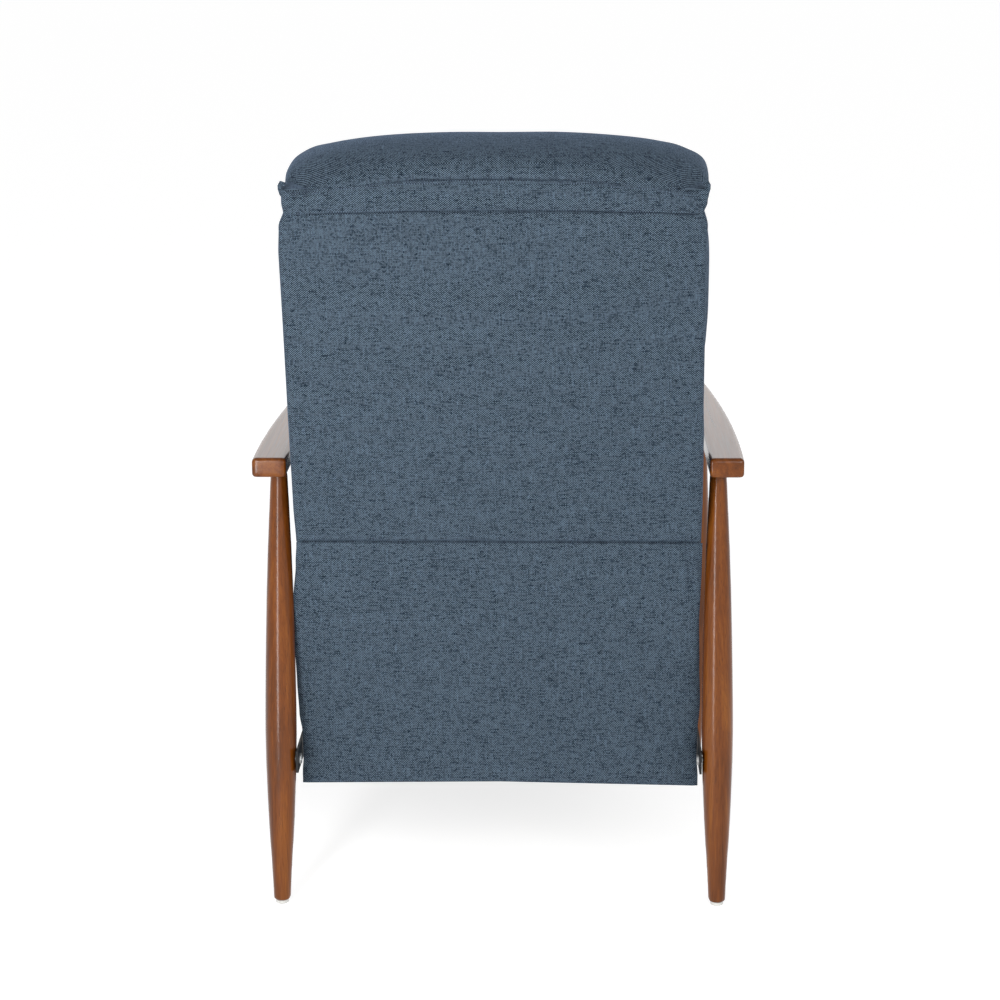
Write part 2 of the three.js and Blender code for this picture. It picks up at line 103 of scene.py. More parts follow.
# ---- Shader helpers ------------------------------------------------------------------------------
class Shader:
    """A material's node tree, with short calls to add and link nodes."""

    def __init__(self, name):
        self.material = bpy.data.materials.new(name)
        self.material.use_nodes = True
        self.tree = self.material.node_tree
        self.tree.nodes.clear()
        self.coordinates = self.add("ShaderNodeTexCoord")

    def add(self, kind, inputs=None, **settings):
        made = self.tree.nodes.new(kind)
        for key, value in settings.items():
            setattr(made, key, value)
        for key, value in (inputs or {}).items():
            self.set(made.inputs[key], value)
        return made

    def set(self, socket, value):
        if isinstance(value, bpy.types.NodeSocket):
            self.tree.links.new(value, socket)
        else:
            socket.default_value = value

    def math(self, operation, a, b=0.0, c=0.0):
        return self.add("ShaderNodeMath", {0: a, 1: b, 2: c}, operation=operation).outputs[0]

    def stretched(self, scale):
        place = self.coordinates.outputs["Object"]
        return self.add("ShaderNodeMapping", {"Vector": place, "Scale": scale}).outputs[0]

    def noise(self, vector, scale=1.0, detail=2.0, roughness=0.5, distortion=0.0):
        made = self.add("ShaderNodeTexNoise", {"Vector": vector, "Scale": scale, "Detail": detail,
                                               "Roughness": roughness, "Distortion": distortion})
        return made.outputs["Fac"]

    def range(self, value, low, high, to_low=0.0, to_high=1.0, kind="LINEAR"):
        made = self.add("ShaderNodeMapRange", {"Value": value, "From Min": low, "From Max": high,
                                               "To Min": to_low, "To Max": to_high}, interpolation_type=kind)
        return made.outputs[0]

    def ramp(self, value, stops):
        made = self.add("ShaderNodeValToRGB", {"Fac": value})
        elements = made.color_ramp.elements
        for element, (place, colour) in zip(elements, stops):
            element.position = place
            element.color = (*colour, 1)
        for place, colour in stops[2:]:
            elements.new(place).color = (*colour, 1)
        return made.outputs[0]

    def mix(self, factor, a, b, blend="MIX"):
        made = self.add("ShaderNodeMix", data_type="RGBA", blend_type=blend)
        for socket, value in zip((made.inputs[0], made.inputs[6], made.inputs[7]), (factor, a, b)):
            self.set(socket, (*value, 1) if isinstance(value, tuple) and len(value) == 3 else value)
        return made.outputs[2]

    def bump(self, height, strength, distance):
        made = self.add("ShaderNodeBump", {"Height": height, "Strength": strength, "Distance": distance})
        return made.outputs[0]

    def finish(self, **inputs):
        surface = self.add("ShaderNodeBsdfPrincipled", {k.replace("_", " "): v for k, v in inputs.items()})
        self.add("ShaderNodeOutputMaterial", {"Surface": surface.outputs[0]})
        return self.material


def srgb(red, green, blue, gain=1.0):
    """A display colour, 0 to 255, as linear values."""
    return tuple(gain * (c / 255 / 12.92 if c <= 10 else ((c / 255 + 0.055) / 1.055) ** 2.4)
                 for c in (red, green, blue))


# ---- Materials -----------------------------------------------------------------------------------
WARP_PITCH = 1.56 * MM
WEFT_PITCH = 1.28 * MM
THREAD_DETAIL = 0.6
SLUB_SHARE = 0.2  # how much of the weft is thick, long slubs
YARN_WEIGHT = 1.7
SPECK_WEIGHT = 0.55
OVER_WEIGHT = 1.05  # the weft, where it lies over the warp, is the paler yarn
MOTTLE_WEIGHT = 0.22
TONE_OFFSET = 1.26
CLOTH_GAIN = 0.175
CLOTH_DARK = srgb(3, 10, 26, CLOTH_GAIN)
CLOTH_MIDDLE = srgb(66, 91, 119, CLOTH_GAIN)
CLOTH_LIGHT = srgb(196, 227, 255, CLOTH_GAIN)


def woven_cloth():
    """A plain weave of melange yarns. The threads follow whichever two axes lie nearest to the surface."""
    s = Shader("woven_cloth")
    place = s.add("ShaderNodeSeparateXYZ", {0: s.coordinates.outputs["Object"]}).outputs
    facing = s.add("ShaderNodeSeparateXYZ", {0: s.coordinates.outputs["Normal"]}).outputs
    nx, ny, nz = (s.math("ABSOLUTE", facing[i]) for i in range(3))
    sideways = s.math("GREATER_THAN", nx, s.math("MAXIMUM", ny, nz))
    level = s.math("GREATER_THAN", nz, s.math("MAXIMUM", nx, ny))
    across = s.add("ShaderNodeMix", {0: sideways, 2: place[0], 3: place[1]}).outputs[0]
    along = s.add("ShaderNodeMix", {0: level, 2: place[2], 3: place[1]}).outputs[0]

    def threads(u_size, v_size, seed):
        vector = s.add("ShaderNodeCombineXYZ", {0: s.math("MULTIPLY", across, 1 / u_size),
                                                1: s.math("MULTIPLY", along, 1 / v_size), 2: seed})
        return s.noise(vector.outputs[0], 1.0, THREAD_DETAIL, 0.6)

    slub = threads(60 * MM, 1.7 * WEFT_PITCH, 3.0)
    fine_weft = threads(13 * MM, 1.1 * WEFT_PITCH, 7.0)
    weft = s.add("ShaderNodeMix", {0: SLUB_SHARE, 2: fine_weft, 3: slub}).outputs[0]
    warp = threads(1.1 * WARP_PITCH, 22 * MM, 11.0)
    phase_u = s.math("SINE", s.math("MULTIPLY", across, math.pi / WARP_PITCH))
    phase_v = s.math("SINE", s.math("MULTIPLY", along, math.pi / WEFT_PITCH))
    crossing = s.math("MULTIPLY", phase_u, phase_v)
    over = s.range(crossing, -0.35, 0.35, kind="SMOOTHSTEP")
    cell = s.add("ShaderNodeCombineXYZ", {0: s.math("FLOOR", s.math("DIVIDE", across, WARP_PITCH)),
                                          1: s.math("FLOOR", s.math("DIVIDE", along, WEFT_PITCH)), 2: 5.0})
    speck = s.add("ShaderNodeTexWhiteNoise", {"Vector": cell.outputs[0]}).outputs["Value"]
    mottle = s.noise(s.stretched((22, 22, 40)), 1.0, 2.0)
    yarn = s.add("ShaderNodeMix", {0: over, 2: warp, 3: weft}).outputs[0]
    tone = s.math("ADD", s.math("MULTIPLY", yarn, YARN_WEIGHT), s.math("MULTIPLY", speck, SPECK_WEIGHT))
    tone = s.math("ADD", tone, s.math("MULTIPLY", over, OVER_WEIGHT))
    tone = s.math("ADD", tone, s.math("MULTIPLY", mottle, MOTTLE_WEIGHT))
    tone = s.math("SUBTRACT", tone, TONE_OFFSET)
    colour = s.ramp(tone, [(0.0, CLOTH_DARK), (1.0, CLOTH_LIGHT), (0.5, CLOTH_MIDDLE)])
    raised = s.math("MULTIPLY", s.math("ABSOLUTE", crossing), 0.8)
    height = s.math("ADD", raised, s.math("MULTIPLY", yarn, 0.7))
    rough = s.range(yarn, 0.3, 0.7, 0.82, 0.95)
    return s.finish(Base_Color=colour, Roughness=rough, Normal=s.bump(height, 0.35, 0.5 * MM),
                    Sheen_Weight=0.15, Sheen_Roughness=0.45, Sheen_Tint=(0.45, 0.65, 1.0, 1),
                    Specular_IOR_Level=0.12)


def lacquered_wood(name, grain_axis):
    """Stained walnut brown under a clear satin coat, with the grain along one axis."""
    s = Shader(name)
    fine = [420.0, 420.0, 420.0]
    broad = [42.0, 42.0, 42.0]
    fine[grain_axis], broad[grain_axis] = 9.0, 2.2
    figure = s.noise(s.stretched(broad), 1.0, 4.0, 0.55, 0.9)
    streak = s.noise(s.stretched(fine), 1.0, 3.0, 0.6)
    pore = s.range(s.noise(s.stretched([c * 2.1 for c in fine]), 1.0, 1.0), 0.60, 0.70)
    tone = s.math("ADD", s.math("MULTIPLY", figure, 0.7), s.math("MULTIPLY", streak, 0.32))
    colour = s.ramp(tone, [(0.30, srgb(68, 32, 4)), (0.72, srgb(122, 70, 18)), (0.5, srgb(96, 49, 9))])
    colour = s.mix(s.math("MULTIPLY", pore, 0.35), colour, srgb(48, 20, 4))
    bumped = s.bump(s.math("SUBTRACT", streak, pore), 0.06, 0.2 * MM)
    return s.finish(Base_Color=colour, Roughness=s.range(streak, 0.3, 0.7, 0.36, 0.46), Normal=bumped,
                    Specular_IOR_Level=0.05, Coat_Weight=1.0, Coat_Roughness=0.2, Coat_IOR=1.32)


def birch_plywood():
    s = Shader("birch_plywood")
    grain = s.noise(s.stretched((9.0, 160.0, 160.0)), 1.0, 3.0, 0.6)
    plies = s.math("SINE", s.math("MULTIPLY", s.add("ShaderNodeSeparateXYZ", {
        0: s.coordinates.outputs["Object"]}).outputs[1], math.pi / (1.6 * MM)))
    colour = s.ramp(grain, [(0.3, srgb(166, 128, 86)), (0.7, srgb(203, 170, 124))])
    colour = s.mix(s.range(plies, 0.2, 0.9, 0.0, 0.25), colour, srgb(120, 84, 50))
    return s.finish(Base_Color=colour, Roughness=s.range(grain, 0.3, 0.7, 0.6, 0.8),
                    Normal=s.bump(grain, 0.2, 0.4 * MM))


def black_enamel():
    s = Shader("black_enamel")
    peel = s.noise(s.stretched((700, 700, 700)), 1.0, 1.0)
    cloud = s.noise(s.stretched((38, 38, 38)), 1.0, 3.0)
    worn = s.range(s.noise(s.stretched((120, 120, 120)), 1.0, 5.0, 0.7), 0.66, 0.74)
    colour = s.mix(s.math("MULTIPLY", worn, 0.3), srgb(17, 17, 18), srgb(70, 69, 68))
    return s.finish(Base_Color=colour, Roughness=s.range(cloud, 0.3, 0.7, 0.42, 0.58),
                    Normal=s.bump(peel, 0.12, 0.15 * MM), Specular_IOR_Level=0.3)


def zinc_plate():
    s = Shader("zinc_plate")
    spangle = s.add("ShaderNodeTexVoronoi", {"Vector": s.stretched((340, 340, 340))}).outputs["Color"]
    cloud = s.noise(s.stretched((150, 150, 150)), 1.0, 3.0)
    colour = s.mix(0.16, s.ramp(cloud, [(0.3, srgb(146, 148, 150)), (0.7, srgb(190, 191, 190))]), spangle,
                   "SOFT_LIGHT")
    return s.finish(Base_Color=colour, Metallic=0.95, Roughness=s.range(cloud, 0.3, 0.7, 0.28, 0.46),
                    Normal=s.bump(cloud, 0.1, 0.1 * MM))


def pale_nylon():
    s = Shader("pale_nylon")
    cloud = s.noise(s.stretched((260, 260, 260)), 1.0, 3.0)
    colour = s.ramp(cloud, [(0.3, srgb(176, 175, 171)), (0.7, srgb(196, 195, 191))])
    return s.finish(Base_Color=colour, Roughness=s.range(cloud, 0.3, 0.7, 0.42, 0.58),
                    Normal=s.bump(cloud, 0.1, 0.1 * MM))


def black_webbing():
    s = Shader("black_webbing")
    place = s.add("ShaderNodeSeparateXYZ", {0: s.coordinates.outputs["Object"]}).outputs
    pitch = 1.8 * MM
    rib = s.math("MULTIPLY", s.math("SINE", s.math("MULTIPLY", place[0], math.pi / pitch)),
                 s.math("SINE", s.math("MULTIPLY", place[1], math.pi / pitch)))
    fuzz = s.noise(s.stretched((500, 500, 500)), 1.0, 2.0)
    colour = s.ramp(s.math("ADD", s.math("MULTIPLY", rib, 0.3), fuzz), [(0.2, srgb(16, 16, 17)),
                                                                      (0.8, srgb(48, 48, 50))])
    return s.finish(Base_Color=colour, Roughness=0.85, Normal=s.bump(rib, 0.5, 0.5 * MM))


def pale_floor():
    s = Shader("studio_floor")
    return s.finish(Base_Color=(0.5, 0.5, 0.5, 1), Roughness=0.8, Specular_IOR_Level=0.0,
                    Emission_Color=(1, 1, 1, 1), Emission_Strength=0.70)


CLOTH = woven_cloth()
WOOD_UPRIGHT = lacquered_wood("lacquered_wood_upright", 2)
WOOD_LEVEL = lacquered_wood("lacquered_wood_level", 1)
SLOT_MATERIALS = {
    "woven_fabric": CLOTH,
    "lacquered_wood": WOOD_UPRIGHT,
    "plywood": birch_plywood(),
    "black_steel": black_enamel(),
    "zinc": zinc_plate(),
    "glide_plastic": pale_nylon(),
    "webbing": black_webbing(),
}
node_slots = {row["node"]: row["material_slot"] for row in frame["record"]["subparts"]}
EDGE_SOFTENING = {"black_steel": 0.5 * MM, "plywood": 1.5 * MM, "zinc": 0.4 * MM}


def dress_cad_nodes():
    for name, node in NODES.items():
        slot = node_slots[name]
        node.data.materials.clear()
        node.data.materials.append(SLOT_MATERIALS[slot])
        if slot in EDGE_SOFTENING:
            soft = node.modifiers.new("softened_edges", "BEVEL")
            soft.width = EDGE_SOFTENING[slot]
            soft.segments = 2
            soft.limit_method = "ANGLE"
            soft.angle_limit = math.radians(40)
            soft.harden_normals = False


# ---- Mesh helpers --------------------------------------------------------------------------------
LOOP_SMOOTHING = 4


def new_piece(name, vertices, faces, material):
    mesh = bpy.data.meshes.new(name)
    mesh.from_pydata([tuple(v) for v in vertices], [], faces)
    mesh.materials.append(material)
    mesh.validate()
    piece = bpy.data.objects.new(name, mesh)
    bpy.context.scene.collection.objects.link(piece)
    mesh.shade_smooth()
    outward(mesh)
    return piece


def outward(mesh):
    work = bmesh.new()
    work.from_mesh(mesh)
    bmesh.ops.recalc_face_normals(work, faces=work.faces)
    work.to_mesh(mesh)
    work.free()


def loft(name, rings):
    """A closed skin of cloth over rings with the same number of points, with a fan of faces at both ends."""
    count = len(rings[0])
    vertices = [p for ring in rings for p in ring]
    faces = []
    for r in range(len(rings) - 1):
        for i in range(count):
            j = (i + 1) % count
            faces.append((r * count + i, r * count + j, (r + 1) * count + j, (r + 1) * count + i))
    for ring, start in ((rings[0], 0), (rings[-1], (len(rings) - 1) * count)):
        centre = sum(ring, Vector()) / count
        vertices.append(centre)
        faces += [(start + i, start + (i + 1) % count, len(vertices) - 1) for i in range(count)]
    return new_piece(name, vertices, faces, CLOTH)


def apply_modifiers(piece):
    evaluated = piece.evaluated_get(bpy.context.evaluated_depsgraph_get())
    mesh = bpy.data.meshes.new_from_object(evaluated)
    piece.modifiers.clear()
    old, piece.data = piece.data, mesh
    bpy.data.meshes.remove(old)


def coordinates_of(mesh):
    flat = np.zeros(len(mesh.vertices) * 3, np.float32)
    mesh.vertices.foreach_get("co", flat)
    return flat.reshape(-1, 3)


def displace(mesh, shift_at):
    """Moves each vertex by shift_at(place, normal), with all the normals taken before anything moves."""
    normals = np.zeros(len(mesh.vertices) * 3, np.float32)
    mesh.vertex_normals.foreach_get("vector", normals)
    places = coordinates_of(mesh).astype(float)
    moved = [Vector(p) + shift_at(Vector(p), Vector(n)) for p, n in zip(places, normals.reshape(-1, 3))]
    mesh.vertices.foreach_set("co", np.array(moved, np.float32).ravel())
    mesh.update()


def copy_of(name, node):
    """A piece that starts as the CAD node's own mesh."""
    source = NODES[node].data
    piece = new_piece(name, [v.co for v in source.vertices], [tuple(p.vertices) for p in source.polygons],
                      CLOTH)
    work = bmesh.new()
    work.from_mesh(piece.data)
    bmesh.ops.remove_doubles(work, verts=work.verts, dist=1e-5)
    work.to_mesh(piece.data)
    work.free()
    return piece


def remesh(piece, voxel):
    modifier = piece.modifiers.new("even_mesh", "REMESH")
    modifier.mode = "VOXEL"
    modifier.voxel_size = voxel
    apply_modifiers(piece)


def relax(piece, rounds):
    modifier = piece.modifiers.new("relaxed", "SMOOTH")
    modifier.factor = 0.5
    modifier.iterations = rounds
    apply_modifiers(piece)


def subdivide(piece):
    piece.modifiers.new("fine", "SUBSURF").levels = 1
    apply_modifiers(piece)
    piece.data.shade_smooth()


def set_material(piece, material):
    piece.data.materials.clear()
    piece.data.materials.append(material)


def tube(name, points, radius, closed, body):
    """A sewn cord or stitch line along points, as a mesh tube."""
    curve = bpy.data.curves.new(name, "CURVE")
    curve.dimensions = "3D"
    curve.bevel_depth = radius
    curve.bevel_resolution = 2
    curve.use_fill_caps = True
    spline = curve.splines.new("POLY")
    spline.points.add(len(points) - 1)
    for target, p in zip(spline.points, points):
        target.co = (*p, 1)
    spline.use_cyclic_u = closed
    made = bpy.data.objects.new(name, curve)
    bpy.context.scene.collection.objects.link(made)
    mesh = bpy.data.meshes.new_from_object(made.evaluated_get(bpy.context.evaluated_depsgraph_get()))
    bpy.data.objects.remove(made)
    piece = bpy.data.objects.new(name, mesh)
    bpy.context.scene.collection.objects.link(piece)
    set_material(piece, CLOTH)
    mesh.shade_smooth()
    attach(piece, body)
    return piece


def section_loop(piece, point, normal):
    """The longest loop where a plane cuts a closed mesh, evenly smoothed."""
    work = bmesh.new()
    work.from_mesh(piece.data)
    geometry = work.verts[:] + work.edges[:] + work.faces[:]
    cut = bmesh.ops.bisect_plane(work, geom=geometry, plane_co=point, plane_no=normal)["geom_cut"]
    edges = [e for e in cut if isinstance(e, bmesh.types.BMEdge)]
    neighbours = {}
    for e in edges:
        a, b = e.verts
        neighbours.setdefault(a, []).append(b)
        neighbours.setdefault(b, []).append(a)
    best, seen = [], set()
    for start in neighbours:
        if start in seen:
            continue
        loop, here, before = [start], start, None
        seen.add(start)
        while True:
            step = [n for n in neighbours[here] if n is not before and n not in seen]
            if not step:
                break
            before, here = here, step[0]
            seen.add(here)
            loop.append(here)
        if len(loop) > len(best):
            best = loop
    points = np.array([v.co[:] for v in best])
    work.free()
    for _ in range(LOOP_SMOOTHING):
        points = (np.roll(points, 1, 0) + points * 2 + np.roll(points, -1, 0)) / 4
    return [Vector(p) for p in points[::2]]


# ---- Cushions ------------------------------------------------------------------------------------
SEAT_HALF = 268 * MM
CUSHION_HALF = 270.5 * MM
CUSHION_VOXEL = 6 * MM
STUFFING_PRESSURE = 4.0
STUFFING_FRAMES = 20
WELT_RADIUS = 2.3 * MM
WELT_DEPTH = 2.2 * MM  # how far the cover is drawn in along a welt
WELT_WIDTH = 7 * MM


def inflate(piece, inset, cap):
    """Swells a closed mesh as a stuffed cover.

    It starts smaller by inset all round and moves by at most cap.
    """
    flat = coordinates_of(piece.data)
    low, high = flat.min(0), flat.max(0)
    middle, size = (low + high) / 2, high - low
    flat = middle + (flat - middle) * (1 - 2 * inset / size)
    piece.data.vertices.foreach_set("co", flat.astype(np.float32).ravel())
    piece.data.update()
    remesh(piece, CUSHION_VOXEL)
    start = coordinates_of(piece.data)
    cloth = piece.modifiers.new("stuffing", "CLOTH")
    settings = cloth.settings
    settings.quality = 4
    settings.mass = 0.3
    settings.tension_stiffness = 18
    settings.compression_stiffness = 18
    settings.shear_stiffness = 8
    settings.bending_stiffness = 1.2
    settings.use_pressure = True
    settings.uniform_pressure_force = STUFFING_PRESSURE
    settings.effector_weights.gravity = 0
    cloth.collision_settings.use_collision = False
    cloth.collision_settings.use_self_collision = False
    scene = bpy.context.scene
    for step in range(1, STUFFING_FRAMES + 1):
        scene.frame_set(step)
    end = piece.evaluated_get(bpy.context.evaluated_depsgraph_get()).data
    moved = coordinates_of(end) - start
    length = np.linalg.norm(moved, axis=1, keepdims=True)
    moved *= np.minimum(1, cap / np.maximum(length, 1e-9))
    piece.modifiers.clear()
    piece.data.vertices.foreach_set("co", (start + moved).astype(np.float32).ravel())
    piece.data.update()
    scene.frame_set(1)
    relax(piece, 3)


def pinch(piece, point, normal, depth, width):
    """Draws the cover in along a seam that lies on a plane."""
    point, normal = Vector(point), Vector(normal).normalized()

    def inwards(place, facing):
        pull = depth * bump((place - point).dot(normal), 0, width)
        return (normal * facing.dot(normal) - facing) * pull
    displace(piece.data, inwards)


def rumple(piece, amount, scale, seed):
    """Small, soft unevenness of a filled cover."""
    offset = Vector((seed, 0, 0))
    displace(piece.data, lambda place, facing: facing * (noise.noise(place * scale + offset) * amount))


def fit(piece, node, axes, growth):
    """Stretches a cover along three axes to its CAD cushion's size plus a growth on both sides."""
    places = coordinates_of(piece.data).astype(float)
    target = coordinates_of(NODES[node].data).astype(float)
    for axis, more in zip(axes, growth):
        direction = np.array(axis)
        here, wanted = places @ direction, target @ direction
        low, high = wanted.min() - more[0], wanted.max() + more[1]
        moved = low + (here - here.min()) * (high - low) / (here.max() - here.min())
        places += np.outer(moved - here, direction)
    piece.data.vertices.foreach_set("co", places.astype(np.float32).ravel())
    piece.data.update()


def cushion(node, body, seams, axes, growth, cap, inset=8 * MM):
    """A stuffed cushion in place of a CAD cushion, with a welt along each seam plane, as (point, normal)."""
    piece = copy_of(node + "_cover", node)
    inflate(piece, inset, cap)
    fit(piece, node, axes, growth)
    rumple(piece, 1.6 * MM, 14.0, len(node))
    for point, normal in seams:
        pinch(piece, point, normal, WELT_DEPTH, WELT_WIDTH)
    subdivide(piece)
    set_material(piece, CLOTH)
    for index, (point, normal) in enumerate(seams):
        loop = section_loop(piece, point, normal)
        tube(f"{node}_welt_{index + 1}", loop, WELT_RADIUS, True, body)
    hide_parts(node)
    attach(piece, body)
    return piece


def make_cushions():
    across = Vector((1, 0, 0))
    upright = (across, Vector((0, 1, 0)), Vector((0, 0, 1)))
    leaning = (across, REAR, UP)
    low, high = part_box("seat_cushion")
    wider = (SEAT_HALF - high.x, SEAT_HALF - high.x)
    top_normal = Vector((0, 0.06, 1)).normalized()
    cushion("seat_cushion", "seat", [((0, 0, high.z - 24 * MM), top_normal),
                                     ((0, 0, low.z + 20 * MM), (0, 0, 1))],
            upright, (wider, (0, 4 * MM), (2 * MM, 4 * MM)), cap=22 * MM)
    front = REAR * -1
    for node, below, above in (("lumbar_cushion", 6 * MM, 9 * MM), ("upper_back_cushion", 9 * MM, 14 * MM)):
        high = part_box(node)[1]
        wider = (CUSHION_HALF - high.x, CUSHION_HALF - high.x)
        cushion(node, "back", [(on_back(0, -118 * MM, 0.1), front), (on_back(0, -52 * MM, 0.1), front)],
                leaning, (wider, (4 * MM, 15 * MM), (below, above)), cap=22 * MM)
    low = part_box("footrest_pad")[0]
    cushion("footrest_pad", "footrest", [((0, low.y + 12 * MM, 0), (0, 1, 0))],
            upright, ((4 * MM, 4 * MM), (2 * MM, 1 * MM), (4 * MM, 4 * MM)), inset=5 * MM, cap=12 * MM)


# ---- Head roll, outside back and rear flap -------------------------------------------------------
ROLL_HALF = 261.5 * MM
ROLL_SHIFT = -2.5 * MM
ROLL_SHOULDER = 472 * MM  # the roll is full width below this height
ROLL_ROUNDNESS = 2.6  # exponent of the crown's fall towards the ends: 2 is an ellipse, more is squarer
SEAM_MIDDLE = 500 * MM  # the roll's rear seam at the chair's centre line
ROLL_CENTRE = (-74 * MM, 484 * MM)  # (v, w) that the ends of the roll close on
seam_height = curve_through([(0, 500 * MM), (90 * MM, 499 * MM), (180 * MM, 492 * MM), (250 * MM, 482 * MM),
                             (270 * MM, 489 * MM)])


def roll_swell(x):
    """How far the crown has fallen towards the ends of the roll, from 1 in the middle to 0 at the ends."""
    return (1 - min(abs(x) / (ROLL_HALF + 2 * MM), 1) ** ROLL_ROUNDNESS) ** (1 / ROLL_ROUNDNESS)


def roll_profile():
    """The roll's outline as (v, w), from the rear seam over the crown to the front and back underneath."""
    knots = [
        # v, w, incoming handle, outgoing handle
        ((-1, 500), (-12, 484), (11, 510)),
        ((-60, 532), (-2, 532), (-112, 532)),
        ((-149, 478), (-149, 512), (-149, 452)),
        ((-118, 443), (-132, 443), (-90, 443)),
        ((-44, 446), (-64, 443), (-38, 452)),
    ]
    points = []
    for (p0, _, out0), (p1, in1, _) in zip(knots, knots[1:] + knots[:1]):
        steps = 14
        for i in range(steps):
            t = i / steps
            a, b, c, d = (1 - t) ** 3, 3 * t * (1 - t) ** 2, 3 * t * t * (1 - t), t ** 3
            points.append(tuple((a * p0[k] + b * out0[k] + c * in1[k] + d * p1[k]) * MM for k in (0, 1)))
    return points


def head_roll():
    profile = roll_profile()
    stations = 120
    rings = []
    for i in range(stations + 1):
        x = ROLL_HALF * math.sin(math.pi / 2 * (2 * i / stations - 1))
        swell = roll_swell(x)
        squeeze = max(0.02, (1 - min(abs(x) / ROLL_HALF, 1) ** 30)) ** (1 / 5)
        drop = seam_height(abs(x)) - SEAM_MIDDLE
        ring = []
        for v, w in profile:
            if w > ROLL_SHOULDER:
                w = ROLL_SHOULDER + (w - ROLL_SHOULDER) * swell
            rear = smooth(-60 * MM, 0, v)
            w += drop * rear * smooth(440 * MM, 480 * MM, w)
            v = ROLL_CENTRE[0] + (v - ROLL_CENTRE[0]) * squeeze
            w = ROLL_CENTRE[1] + (w - ROLL_CENTRE[1]) * squeeze
            ring.append(on_back(x + ROLL_SHIFT, v, w))
        rings.append(ring)
    piece = loft("head_roll_cover", rings)
    gather(piece)
    subdivide(piece)
    rumple(piece, 1.2 * MM, 13.0, 4.0)
    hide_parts("head_roll")
    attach(piece, "back")


def gather(piece):
    """Small pleats that run from the ends of the rear seam over the roll's shoulders."""
    def pleat(place, facing):
        across, up = abs(place.x), (place - SEAM).dot(UP)
        near = smooth(0.17, 0.262, across) * bump(up, 0.492, 0.02)
        return facing * (math.sin(across * 210 + up * 160) * 0.9 * MM * near)
    displace(piece.data, pleat)


def roll_welt():
    """The sewn edge between the roll and the outside back, which stands out as an ear at both ends."""
    points = []
    steps = 80
    for i in range(steps + 1):
        t = 2 * i / steps - 1
        x = t * 259 * MM
        end = smooth(0.93, 1.0, abs(t))
        w = seam_height(abs(x)) + 3 * MM * end
        points.append(on_back(x, 2.2 * MM - 5 * MM * end, w))
    tube("roll_welt", points, 2.0 * MM, False, "back")
    ear = [(254, -1, 495), (259, -2, 497), (260.5, -3, 493), (260.5, -4, 488), (259, -4, 482), (256, -4, 478)]
    for side, sign in (("left", 1), ("right", -1)):
        tube(f"roll_ear_{side}", [on_back(sign * x * MM, v * MM, w * MM) for x, v, w in ear], 2.8 * MM, False,
             "back")


left_edge = curve_through([
    (-0.05, 0.2620), (0.0, 0.2650), (0.05, 0.2665), (0.2, 0.2670), (0.40, 0.2670),
    (0.437, 0.2650), (0.462, 0.2585), (0.48, 0.2605), (0.505, 0.2600),
])
right_edge = curve_through([
    (-0.05, 0.2600), (0.0, 0.2650), (0.05, 0.2650), (0.15, 0.2640), (0.2, 0.2625), (0.40, 0.2620),
    (0.437, 0.2615), (0.462, 0.2570), (0.48, 0.2600), (0.505, 0.2610),
])
BACK_DEPTH = 35 * MM  # from the outside back to the rear of the cushions
TOP_SEAM = 461.7 * MM


def outside_back():
    """The upholstered rear of the back: the outside panel, its top band and its narrow side borders."""
    rings = []
    corner = 9 * MM
    low, high = -46 * MM, 503 * MM
    stations = list(np.linspace(low, high, 150)) + [TOP_SEAM + step * 0.7 * MM for step in range(-9, 10)]
    stations += [step * 0.8 * MM for step in range(-6, 10)]
    for w in sorted(stations):
        half = (left_edge(w) + right_edge(w)) / 2
        middle = (left_edge(w) - right_edge(w)) / 2
        rear = -7 * MM * smooth(2 * MM, -10 * MM, w)
        ring = []
        for k in range(81):
            x = -half + corner + (2 * half - 2 * corner) * k / 80
            crown = 3.2 * MM * (1 - (x / half) ** 2) * smooth(-0.02, 0.06, w) * smooth(0.50, 0.44, w)
            crease = -4.5 * MM * bump(w, TOP_SEAM, 1.6 * MM) + 1.6 * MM * bump(w, TOP_SEAM - 11 * MM, 9 * MM)
            crease += 2.2 * MM * bump(w, TOP_SEAM + 17 * MM, 12 * MM)
            crease -= 3.0 * MM * bump(w, 1 * MM, 3 * MM)
            ring.append((x, rear + crown + crease))
        for a in np.linspace(0, math.pi / 2, 6)[1:]:
            ring.append((half - corner + corner * math.sin(a), rear - corner + corner * math.cos(a)))
        front = -BACK_DEPTH
        ring.append((half - 0.5 * MM, (rear - corner + front) / 2))
        ring.append((half - 1 * MM, front + 3 * MM))
        ring += [(half - 4 * MM, front), (0, front), (-half + 4 * MM, front)]
        ring.append((-half + 1 * MM, front + 3 * MM))
        ring.append((-half + 0.5 * MM, (rear - corner + front) / 2))
        for a in np.linspace(math.pi / 2, 0, 6)[:-1]:
            ring.append((-half + corner - corner * math.sin(a), rear - corner + corner * math.cos(a)))
        topped = smooth(440 * MM, 503 * MM, w)
        rings.append([on_back(x + middle, v, w + topped * (seam_height(abs(x)) - 502 * MM)) for x, v in ring])
    piece = loft("outside_back_cover", rings)

    def slacken(place, facing):
        up = (place - SEAM).dot(UP)
        side = smooth(0.20, 0.262, abs(place.x))
        pucker = bump(up, TOP_SEAM, 0.03) * side * math.sin(place.x * 330) * 0.8 * MM
        slack = noise.noise(Vector((place.x * 7, up * 3.2, 1.0))) * 1.8 * MM
        return facing * (pucker + slack)
    displace(piece.data, slacken)
    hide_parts("outside_back_panel")
    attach(piece, "back")
    return piece


FLAP_THICKNESS = 6.5 * MM
FLAP_ROWS = 130
FLAP_COLUMNS = 160


